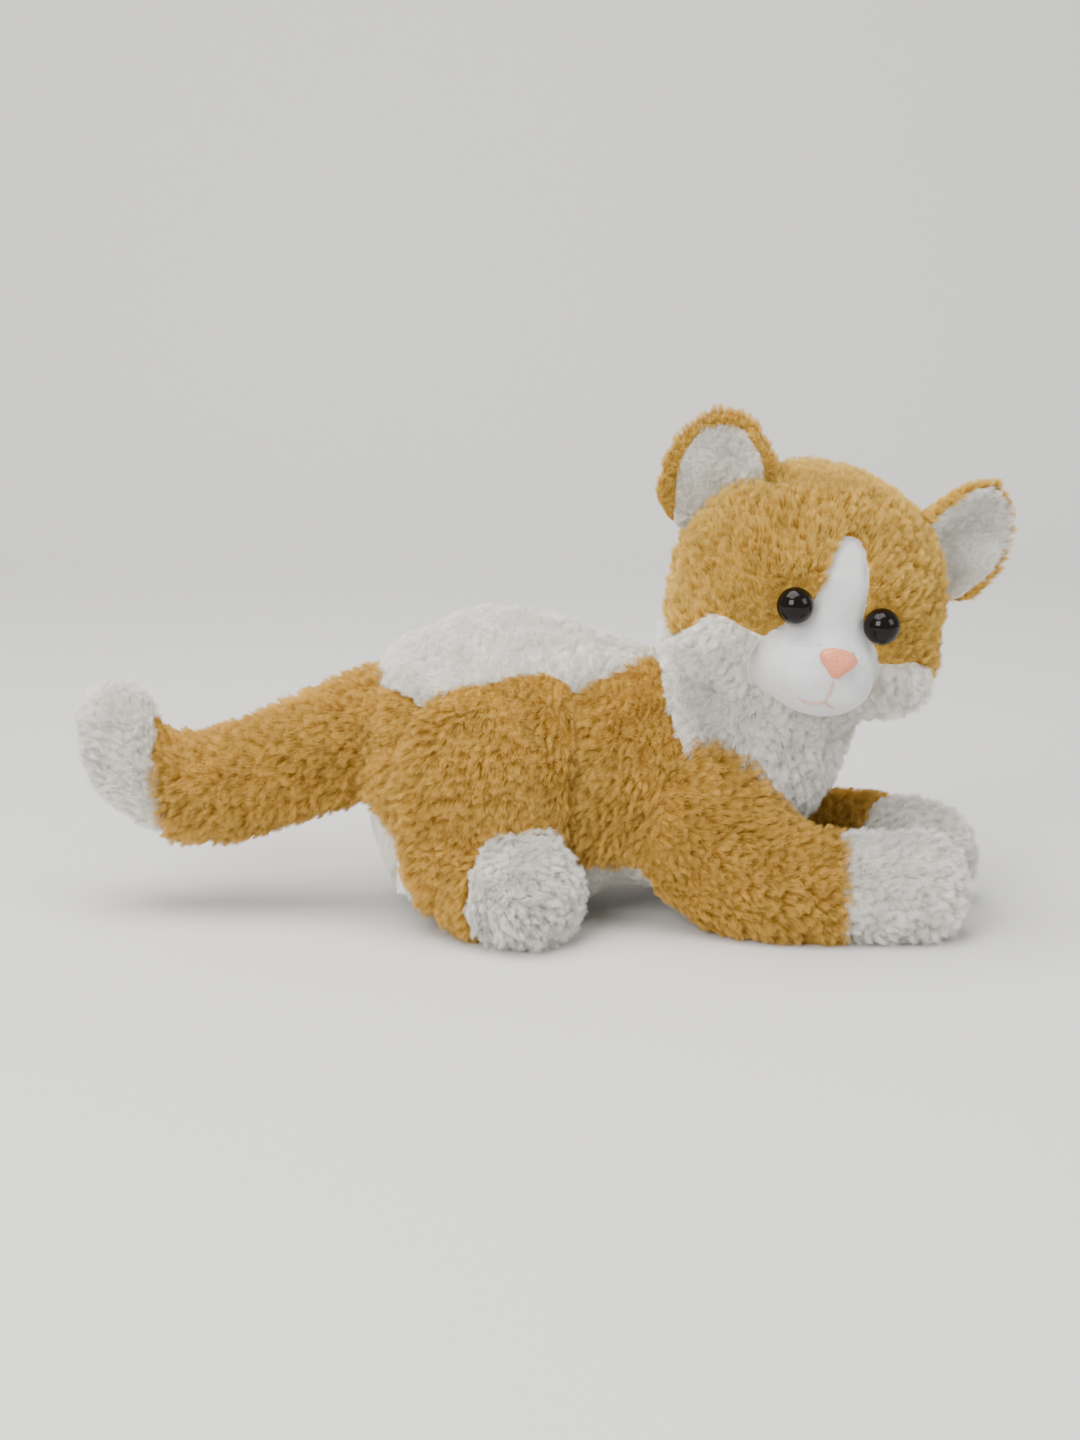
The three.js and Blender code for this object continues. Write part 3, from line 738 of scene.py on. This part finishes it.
def build_tail():
    """The tail and its white tip."""
    skin = Skin([stuffed_tube(**TAIL, rings=60), ellipsoid((-61, 0, 78), (12, 22, 26))], rounds=12)
    seam = lambda p: (p[:, 0] - TIP_SEAM[0]) + TIP_SLANT * (p[:, 2] - TIP_SEAM[1])
    skin.groove(seam, depth=0.9, width=2.0)
    furnish(skin, height=0.55, size=4.2)
    made = make_panels(skin, [("tail_tip_skin", seam)], "tail_skin")
    dress(made["tail_skin"], GINGER, ["tail_cover", "tail_filling"])
    grow_fur(made["tail_skin"], LONG_PILE, 41, (-1, 0, -0.2))
    dress(made["tail_tip_skin"], WHITE, ["tail_tip_cover", "tail_tip_filling"])
    grow_fur(made["tail_tip_skin"], WHITE_PILE, 42, (-0.5, 0, 0.8))
    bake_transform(made["tail_skin"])
    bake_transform(made["tail_tip_skin"])


# ---- Head, in its own axes: x out of the face, y to its left, z up ----
FACE_LEFT = [
    (9, -45), (20, -38), (26, -27), (24.5, -16), (17.5, -8), (12, -2), (10.4, 6), (8.8, 18), (5.5, 27),
]
FACE = loop([(0, 30)] + [(-y, z) for y, z in reversed(FACE_LEFT)] + FACE_LEFT)
CHEEK = loop(
    [(0, -60), (30, -60), (46, -44), (52, -32), (50, -22), (43, -13.5), (33, -15.5), (20, -17), (0, -16)], 6
)
CHEEK_BACK, FACE_BACK = -6, 8
MUZZLE_CENTRE = np.array([37.0, 0, -25.0])
MUZZLE_HALF = np.array([23, 24, 18.5])
EYE_SIDE, EYE_UP, EYE_RADIUS, EYE_PROUD = 18.0, -1.0, 7.4, 2.0
EYE_BARE, EYE_FADE = 7.5, 3.0  # the radius without hair, and how far it thins out beyond
front_face = outline_distance(FACE, Y, Z)
front_cheek = outline_distance(CHEEK, Y, Z)


def cheek_distance(side):
    """A distance that is negative on one cheek: its outline in front view, on its half of the head."""

    def distance(p):
        outlined = np.maximum(front_cheek(p * (1, side, 1)), CHEEK_BACK - p[:, 0])
        return np.maximum(outlined, -side * p[:, 1])

    return distance


def eye_centre(side):
    """The middle of an eyeball, in the head's axes."""
    y, z = side * EYE_SIDE, EYE_UP
    x = HEAD_HALF[0] * math.sqrt(1 - (y / HEAD_HALF[1]) ** 2 - (z / HEAD_HALF[2]) ** 2)
    out = np.array([x / HEAD_HALF[0] ** 2, y / HEAD_HALF[1] ** 2, z / HEAD_HALF[2] ** 2])
    return np.array([x, y, z]) + out * (EYE_PROUD / np.linalg.norm(out))


def clear_of_eyes(points):
    """A share of hair for each point of the head: none beside an eye."""
    away = np.min([np.linalg.norm(points - eye_centre(side), axis=1) for side, _ in SIDES], axis=0)
    return np.clip((away - EYE_BARE) / EYE_FADE, 0, 1)


def build_head():
    """The crown, the two cheeks and the smooth face."""
    skin = Skin(
        [
            ellipsoid((0, 0, 0), HEAD_HALF),
            ellipsoid(MUZZLE_CENTRE, MUZZLE_HALF),
            ellipsoid((40, 0, -21), (21.5, 14, 13)),
            ellipsoid((8, -34, -17), (26, 21, 20)),
            ellipsoid((8, 34, -17), (26, 21, 20)),
        ],
        voxel=2.3,
        rounds=10,
    )
    for side in (-1, 1):
        skin.swell((44, side * 19, 12), (10, 11, 6), 1.8)
        skin.swell((44, side * 17, -2), (9, 8, 7), -2.2)
        skin.swell((56, side * 10, -30), (9, 9, 8), 1.0)
    skin.swell((48, 0, 4), (12, 6, 18), 1.2)
    in_face = lambda p: np.maximum(front_face(p), FACE_BACK - p[:, 0])
    skin.groove(in_face, depth=1.5, width=1.8)
    skin.subdivide()
    soft = np.clip(in_face(skin.v) / 2.5, 0, 1)
    relieved = clump_relief(skin.v, skin.normals(), 0.5, 3.6)
    skin.v = skin.v + (relieved - skin.v) * soft[:, None]
    regions = [("muzzle_skin", in_face)]
    regions += [(f"cheek_skin_{name}", cheek_distance(side)) for side, name in SIDES]
    parts = skin.panels(regions, "crown_skin")
    made = {}
    for name, (v, f) in parts.items():
        made[name] = make_object(name, from_head(v), f.tolist())
    dress(made["muzzle_skin"], VELOUR, ["muzzle_panel"])
    dress(made["crown_skin"], GINGER_HEAD, ["head_crown", "head_filling", "neck_filling"])
    brushed_up = tuple(HEAD_TURN @ (-0.3, 0, 0.6))
    grow_fur(made["crown_skin"], HEAD_PILE, 51, brushed_up, clear_of_eyes(parts["crown_skin"][0]))
    for side, name in SIDES:
        obj = made[f"cheek_skin_{name}"]
        dress(obj, WHITE, [f"cheek_{name}"])
        grow_fur(obj, WHITE_PILE, 52 + side, tuple(HEAD_TURN @ (-0.3, side * 0.7, -0.5)))
    for obj in made.values():
        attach(obj, "head")


def build_eyes():
    """Two glossy balls."""
    for side, name in SIDES:
        v, f = ellipsoid(eye_centre(side), (EYE_RADIUS,) * 3)
        obj = make_object(f"eye_ball_{name}", from_head(v), f, EYE)
        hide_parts(f"eye_{name}", f"eye_washer_{name}")
        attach(obj, "head")


NOSE_AT = np.array([59.6, 0, -18.0])
NOSE_HALF = np.array([4.2, 8.4, 6.0])


def build_nose():
    """A padded triangle, wide at the top."""
    tilt = np.array(Matrix.Rotation(math.radians(-20), 3, "Y"))
    v, f = ellipsoid((0, 0, 0), (1, 1, 1))
    squared = np.sign(v) * np.abs(v) ** 0.85
    width = 0.42 + 0.62 / (1 + np.exp(-(v[:, 2] + 0.15) * 5.0))
    shape = np.column_stack([squared[:, 0], squared[:, 1] * width, squared[:, 2]]) * NOSE_HALF
    obj = make_object("nose_pad", from_head(shape @ tilt.T + NOSE_AT), f, NOSE)
    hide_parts("nose")
    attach(obj, "head")


def thread_tube(route, radius, sides=8):
    """A twisted thread along a route."""
    route = np.asarray(route, float)
    tangents = np.gradient(route, axis=0)
    tangents /= np.linalg.norm(tangents, axis=1)[:, None]
    around = np.arange(sides) * 2 * math.pi / sides
    rings = []
    for k, (c, t) in enumerate(zip(route, tangents)):
        side = np.cross(t, X)
        side = side / max(np.linalg.norm(side), 1e-6)
        up = np.cross(t, side)
        twist = 1 + 0.18 * math.sin(k * 1.9)
        thick = radius * twist * min(1, 0.4 + 0.3 * min(k, len(route) - 1 - k))
        ring = np.outer(np.cos(around), side) + np.outer(np.sin(around), up)
        rings.append(c + ring * thick)
    v = np.vstack([route[:1], *rings, route[-1:]])
    return v, ring_faces(sides, len(route))


def muzzle_surface(y, z):
    """How far forward the muzzle's cloth is at a place on it."""
    inside = 1 - (y / MUZZLE_HALF[1]) ** 2 - ((z - MUZZLE_CENTRE[2]) / MUZZLE_HALF[2]) ** 2
    return MUZZLE_CENTRE[0] + MUZZLE_HALF[0] * math.sqrt(max(inside, 0.02))


THREAD_RADIUS = 0.5


def build_mouth():
    """The stitched smile below the nose."""
    smile = catmull([(-10.5, -35.2), (-6, -36.6), (-1.5, -35.2), (0, -34.2)], 16)
    right_smile = catmull([(0, -34.2), (2.0, -35.4), (5.5, -36.4)], 10)
    upright = catmull([(0, -34.2), (0, -29), (0, -24.5)], 10)
    points, faces, offset = [], [], 0
    for route in (smile, right_smile, upright):
        lifted = np.array([(muzzle_surface(y, z) + 0.2, y, z) for y, z in route])
        v, f = thread_tube(lifted, THREAD_RADIUS)
        points.append(v)
        faces += [tuple(i + offset for i in face) for face in f]
        offset += len(v)
    obj = make_object("mouth_thread", from_head(np.vstack(points)), faces, THREAD)
    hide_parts("mouth_stitch")
    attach(obj, "head")


# ---- Ears: x out of the dish, y along the seam on the head, z to the tip ----
EAR = {"side": 44, "up": 21, "forward": -4, "half_wide": 24.5, "half_tall": 29, "thick": 3.6}
EAR_SPLAY, EAR_TURN = 38, 22  # the seam outwards, and the dish outwards
EAR_LEAN = {"right": 26, "left": 0}  # of the blade on its seam, towards the middle of the head
EAR_SUNK = {"right": 13, "left": 9}  # how much of the blade's foot is below the seam
EAR_RIM = {"right": 6.5, "left": 3.0}  # how wide the ginger rim is around the lining
EAR_ROLL, TIP_ROLL, TIP_FROM, EAR_DEPTH = 0.025, 0.006, 18, 7.0


def ear_frame(side):
    """The turn and the place of an ear's seam, in the head's axes."""
    splay = Matrix.Rotation(math.radians(-side * EAR_SPLAY), 3, "X")
    turn = Matrix.Rotation(math.radians(side * EAR_TURN), 3, "Z")
    return np.array(splay @ turn), np.array([EAR["forward"], side * EAR["side"], EAR["up"]])


def ear_bend(y, z):
    """How far the ear's middle sheet comes forward: rolled edges, and a tip that leans a little."""
    return EAR_ROLL * y**2 + TIP_ROLL * np.maximum(z - TIP_FROM, 0) ** 2 - EAR_DEPTH


def ear_blade(middle):
    """An ear's points and faces: a bent egg, narrower at the tip and at the seam, and thicker below."""
    v, f = ellipsoid((0, 0, 0), (1, 1, 1), sides=64, rings=48)
    flat = np.sign(v) * np.abs(v) ** np.array([1.0, 0.92, 0.95])
    shape = flat * (EAR["thick"], EAR["half_wide"], EAR["half_tall"])
    z = shape[:, 2] + middle
    y = shape[:, 1] * (1.04 - 0.16 * flat[:, 2] - 0.10 * np.clip(flat[:, 2] - 0.3, 0, 1))
    y = y * (0.82 + 0.18 * np.clip((z + 6) / 16, 0, 1))
    x = shape[:, 0] * (1 + 0.7 * np.clip(1 - z / 14, 0, 1)) + ear_bend(y, z)
    return np.column_stack([x, y, z]), f


def build_ear(name, side):
    """A cupped ear: a white lining inside a ginger rim and back."""
    middle = EAR["half_tall"] - EAR_SUNK[name]
    skin = Skin([ear_blade(middle)], voxel=1.9, rounds=5)
    rim = EAR_RIM[name]

    def front(p):
        """A distance that is negative on the lining."""
        across = p[:, 1] / (EAR["half_wide"] - rim)
        along = (p[:, 2] - middle) / (EAR["half_tall"] - rim)
        inside = (np.hypot(across, along * (along > 0)) - 1) * EAR["half_wide"]
        return np.maximum(inside, ear_bend(p[:, 1], p[:, 2]) - 0.6 - p[:, 0])

    furnish(skin, height=0.4, size=3.8)
    parts = skin.panels([(f"ear_lining_skin_{name}", front)], f"ear_back_skin_{name}")
    turn, place = ear_frame(side)
    turn = turn @ np.array(Matrix.Rotation(math.radians(side * EAR_LEAN[name]), 3, "X"))
    for part, (points, faces) in parts.items():
        obj = make_object(part, from_head(points @ turn.T + place), faces.tolist())
        up = tuple(HEAD_TURN @ turn @ (0.1, 0, 0.8))
        if "lining" in part:
            dress(obj, WHITE, [f"ear_lining_{name}"])
            grow_fur(obj, EAR_PILE, 61 + side, up)
        else:
            dress(obj, GINGER_HEAD, [f"ear_back_{name}"])
            grow_fur(obj, EAR_PILE, 65 + side, up)
        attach(obj, f"ear_{name}")


LABEL_SHIFT = np.array([5.0, -2.5, 2.5])
LABEL_HALF_THICK = 0.3


def build_label():
    """A blank satin tape, a little curled."""
    low, high = (np.array(corner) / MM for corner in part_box("care_label"))
    columns, rows = 10, 14
    points, faces = [], []
    for layer in (-LABEL_HALF_THICK, LABEL_HALF_THICK):
        for r in range(rows + 1):
            for c in range(columns + 1):
                s, t = c / columns, r / rows
                at = low + (high - low) * (s, 1 - s, t) + LABEL_SHIFT
                curl = 1.2 * math.sin(2.4 * s + 0.6) * (1 - t)
                points.append(at + np.array([0, layer - curl, 0]))
    row = columns + 1
    layer = row * (rows + 1)
    for r in range(rows):
        for c in range(columns):
            a = r * row + c
            faces.append((a, a + 1, a + row + 1, a + row))
            faces.append((layer + a + row, layer + a + row + 1, layer + a + 1, layer + a))
    rim = [r * row for r in range(rows)] + [rows * row + c for c in range(columns)]
    rim += [r * row + columns for r in range(rows, 0, -1)] + list(range(columns, 0, -1))
    for a, b in zip(rim, rim[1:] + rim[:1]):
        faces.append((a, b, layer + b, layer + a))
    obj = make_object("care_tag", points, faces, LABEL)
    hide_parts("care_label")
    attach(obj, "torso")


# ---- Studio, in metres ----
PAPER_FRONT, PAPER_BACK, PAPER_BEND, PAPER_HIGH, PAPER_HALF_WIDE = -2.2, 0.9, 0.5, 3.0, 3.0
PAPER_TURNS = 12
LAMPS = [
    ("overhead", (-0.25, -0.15, 1.5), 1.3, 37.0, (1.0, 0.99, 0.97)),
    ("front", (-0.9, -1.6, 1.1), 1.0, 37.0, (1.0, 0.98, 0.96)),
    ("right", (1.4, -0.7, 0.9), 0.8, 11.0, (0.97, 0.98, 1.0)),
]


def build_studio():
    """A pale paper sweep under soft lamps."""
    sweep = [(PAPER_FRONT, 0.0), (PAPER_BACK, 0.0)]
    for k in range(1, PAPER_TURNS + 1):
        a = k / PAPER_TURNS * math.pi / 2
        sweep.append((PAPER_BACK + PAPER_BEND * math.sin(a), PAPER_BEND * (1 - math.cos(a))))
    sweep.append((PAPER_BACK + PAPER_BEND, PAPER_HIGH))
    points = [(x, y, z) for y, z in sweep for x in (-PAPER_HALF_WIDE, PAPER_HALF_WIDE)]
    faces = [(2 * k, 2 * k + 1, 2 * k + 3, 2 * k + 2) for k in range(len(sweep) - 1)]
    material, _, shader = new_material("studio paper")
    shader.inputs["Base Color"].default_value = (0.70, 0.69, 0.67, 1)
    shader.inputs["Roughness"].default_value = 0.9
    obj = make_object("studio_sweep", np.array(points) / MM, faces, material)
    scene = bpy.context.scene
    scene.world = bpy.data.worlds.new("studio")
    scene.world.use_nodes = True
    background = scene.world.node_tree.nodes["Background"]
    background.inputs["Color"].default_value = (0.95, 0.97, 1.0, 1)
    background.inputs["Strength"].default_value = 0.45
    for name, place, size, watts, colour in LAMPS:
        light = bpy.data.lights.new(name, "AREA")
        light.size = size
        light.energy = watts
        light.color = colour
        lamp = bpy.data.objects.new(name, light)
        lamp.location = place
        lamp.rotation_euler = (Vector((0, 0, 0.08)) - Vector(place)).to_track_quat("-Z", "Y").to_euler()
        scene.collection.objects.link(lamp)


def build_camera():
    """A long lens, a little above the cat."""
    elevation, distance, target = math.radians(12), 1.2, Vector((0, 0, 0.0812))
    camera = bpy.data.objects.new("camera", bpy.data.cameras.new("camera"))
    camera.data.lens = 71
    camera.data.sensor_width = 36
    camera.location = target + distance * Vector((0, -math.cos(elevation), math.sin(elevation)))
    camera.rotation_euler = (target - camera.location).to_track_quat("-Z", "Y").to_euler()
    bpy.context.scene.collection.objects.link(camera)
    bpy.context.scene.camera = camera


build_studio()
build_camera()
build_torso()
for side, name in SIDES:
    build_foreleg(name, side)
    build_hindleg(name, side)
build_tail()
build_head()
build_eyes()
build_nose()
build_mouth()
for side, name in SIDES:
    build_ear(name, side)
build_label()
